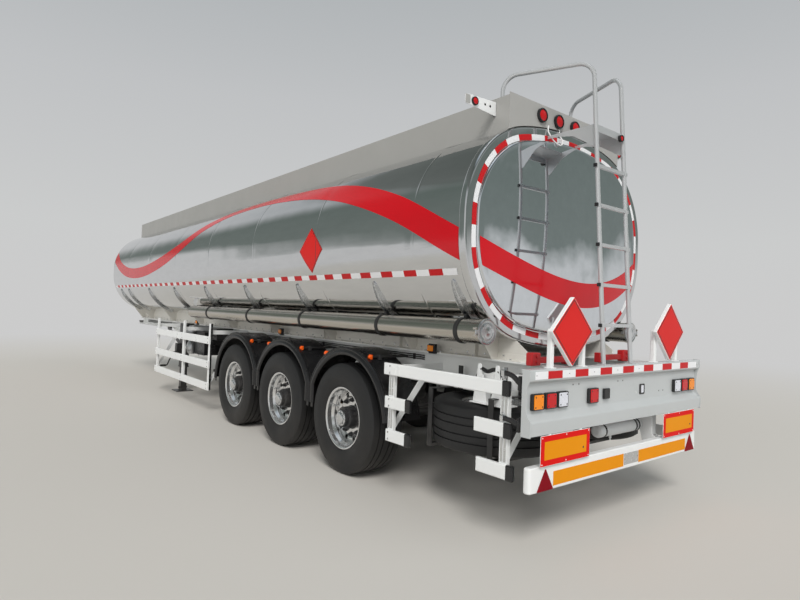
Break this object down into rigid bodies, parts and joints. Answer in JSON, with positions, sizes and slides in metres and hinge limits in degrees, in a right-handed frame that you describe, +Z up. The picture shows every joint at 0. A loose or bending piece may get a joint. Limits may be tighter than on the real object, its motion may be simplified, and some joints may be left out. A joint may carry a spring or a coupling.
{
  "type": "tank semi-trailer",
  "caption": "Tank semi-trailer on three axles, with an oval tank, rear ladder, coaming walkway, hose tubes, side guards and landing legs.",
  "frame": {"origin": "middle of the length and the width, on the ground", "axes": "+X forward to the kingpin end, +Y to the left, +Z up"},
  "size_m": [12.2698, 2.5, 3.6225],
  "materials": {
    "polished_shell": "polished",
    "mill_aluminium": "satin",
    "grey_paint": "satin",
    "white_paint": "satin",
    "frame_paint": "satin",
    "black_steel": "satin",
    "bare_steel": "brushed",
    "rim_silver": "satin",
    "tyre_rubber": "matte",
    "strap_rubber": "matte",
    "guard_plastic": "matte",
    "red_lens": "gloss",
    "amber_lens": "gloss",
    "marker_sheet": "gloss",
    "sign_sheet": "satin"
  },
  "bodies": {
    "trailer": {"tank_shell": "polished_shell", "front_head": "polished_shell", "rear_head": "polished_shell", "tank_ribs": "mill_aluminium", "saddle": "mill_aluminium", "frame": "frame_paint", "coupling_plate": "bare_steel", "kingpin": "bare_steel", "coaming": "grey_paint", "manhole_necks": "mill_aluminium", "walkway_deck": "mill_aluminium", "ladder": "grey_paint", "rear_panel": "white_paint", "rear_lamps": "red_lens", "sign_boxes": "sign_sheet", "underrun_bar": "white_paint", "marker_plates": "marker_sheet", "lamp_arms": "grey_paint", "top_lamps": "red_lens", "axle_beams": "black_steel", "hangers": "frame_paint", "trailing_arms": "black_steel", "air_springs": "strap_rubber", "spare_tyres": "tyre_rubber", "spare_rims": "rim_silver", "spare_carrier": "white_paint", "mudguards": "guard_plastic", "guard_stays": "black_steel", "rear_side_guards": "white_paint", "front_side_guards": "white_paint", "hose_tube_left": "bare_steel", "hose_tube_right": "bare_steel", "hose_straps": "strap_rubber", "landing_gear": "frame_paint", "air_reservoirs": "mill_aluminium", "equipment_boxes": "guard_plastic", "valve_cabinet": "mill_aluminium", "outlet_pipes": "bare_steel", "side_markers": "amber_lens"},
    "wheel_left_1": {"rim_left_1": "rim_silver", "tyre_left_1": "tyre_rubber"},
    "wheel_right_1": {"rim_right_1": "rim_silver", "tyre_right_1": "tyre_rubber"},
    "wheel_left_2": {"rim_left_2": "rim_silver", "tyre_left_2": "tyre_rubber"},
    "wheel_right_2": {"rim_right_2": "rim_silver", "tyre_right_2": "tyre_rubber"},
    "wheel_left_3": {"rim_left_3": "rim_silver", "tyre_left_3": "tyre_rubber"},
    "wheel_right_3": {"rim_right_3": "rim_silver", "tyre_right_3": "tyre_rubber"},
    "manhole_lid_1": {"manhole_lid_1": "mill_aluminium"},
    "manhole_lid_2": {"manhole_lid_2": "mill_aluminium"},
    "manhole_lid_3": {"manhole_lid_3": "mill_aluminium"},
    "manhole_lid_4": {"manhole_lid_4": "mill_aluminium"},
    "hose_cap_left": {"hose_cap_left": "mill_aluminium"},
    "hose_cap_right": {"hose_cap_right": "mill_aluminium"},
    "cabinet_door": {"cabinet_door": "mill_aluminium"}
  },
  "joints": [
    {"name": "wheel_left_1_spin", "type": "hinge", "parent": "trailer", "child": "wheel_left_1", "pos_m": [-3.835, 0, 0.53], "axis": [0, 1, 0], "continuous": true},
    {"name": "wheel_right_1_spin", "type": "hinge", "parent": "trailer", "child": "wheel_right_1", "pos_m": [-3.835, 0, 0.53], "axis": [0, 1, 0], "continuous": true},
    {"name": "wheel_left_2_spin", "type": "hinge", "parent": "trailer", "child": "wheel_left_2", "pos_m": [-2.525, 0, 0.53], "axis": [0, 1, 0], "continuous": true},
    {"name": "wheel_right_2_spin", "type": "hinge", "parent": "trailer", "child": "wheel_right_2", "pos_m": [-2.525, 0, 0.53], "axis": [0, 1, 0], "continuous": true},
    {"name": "wheel_left_3_spin", "type": "hinge", "parent": "trailer", "child": "wheel_left_3", "pos_m": [-1.215, 0, 0.53], "axis": [0, 1, 0], "continuous": true},
    {"name": "wheel_right_3_spin", "type": "hinge", "parent": "trailer", "child": "wheel_right_3", "pos_m": [-1.215, 0, 0.53], "axis": [0, 1, 0], "continuous": true},
    {"name": "manhole_lid_1_hinge", "type": "hinge", "parent": "trailer", "child": "manhole_lid_1", "pos_m": [-3.441, 0, 3.282], "axis": [0, -1, 0], "range_deg": [0, 110]},
    {"name": "manhole_lid_2_hinge", "type": "hinge", "parent": "trailer", "child": "manhole_lid_2", "pos_m": [-1.091, 0, 3.282], "axis": [0, -1, 0], "range_deg": [0, 110]},
    {"name": "manhole_lid_3_hinge", "type": "hinge", "parent": "trailer", "child": "manhole_lid_3", "pos_m": [1.259, 0, 3.282], "axis": [0, -1, 0], "range_deg": [0, 110]},
    {"name": "manhole_lid_4_hinge", "type": "hinge", "parent": "trailer", "child": "manhole_lid_4", "pos_m": [3.609, 0, 3.282], "axis": [0, -1, 0], "range_deg": [0, 110]},
    {"name": "hose_cap_left_hinge", "type": "hinge", "parent": "trailer", "child": "hose_cap_left", "pos_m": [-5.5305, 1.154, 1.45], "axis": [0, 0, -1], "range_deg": [0, 120]},
    {"name": "hose_cap_right_hinge", "type": "hinge", "parent": "trailer", "child": "hose_cap_right", "pos_m": [-5.5305, -1.154, 1.45], "axis": [0, 0, 1], "range_deg": [0, 120]},
    {"name": "cabinet_door_hinge", "type": "hinge", "parent": "trailer", "child": "cabinet_door", "pos_m": [0.635, -1.2145, 1.292], "axis": [-1, 0, 0], "range_deg": [0, 95]}
  ]
}
